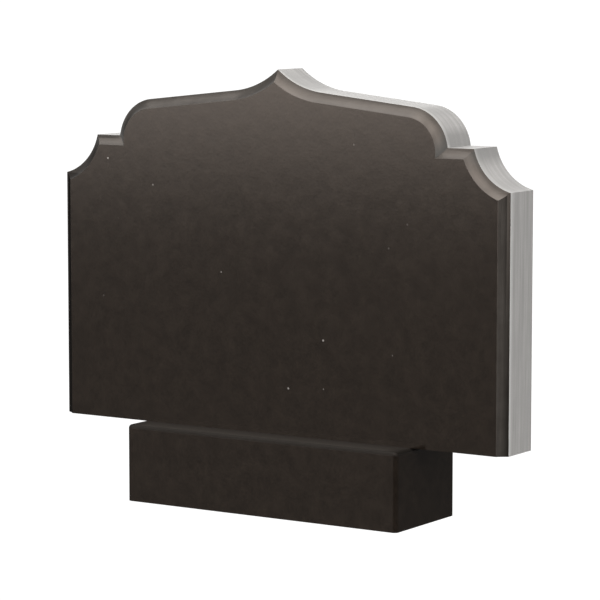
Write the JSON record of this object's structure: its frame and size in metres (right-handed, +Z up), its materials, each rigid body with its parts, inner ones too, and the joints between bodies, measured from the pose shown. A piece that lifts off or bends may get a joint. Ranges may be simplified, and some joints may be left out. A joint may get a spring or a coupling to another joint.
{
  "type": "headstone",
  "caption": "Upright granite headstone with notched corners, rounded shoulders and a peaked top, cove-moulded around its polished front, standing on a low block plinth.",
  "frame": {"origin": "middle of the plinth's underside", "axes": "+X along the width, +Y from the polished front to the back, +Z up; the front faces -Y"},
  "size_m": [1, 0.213, 0.8406],
  "materials": {
    "slab_granite": "dark brownish grey granite, polished on the front and the moulding; the top, the sides and the back are sawn and pale grey",
    "plinth_granite": "dark brownish grey granite, polished"
  },
  "bodies": {
    "root": {"headstone_slab": "slab_granite", "plinth": "plinth_granite"}
  },
  "joints": []
}
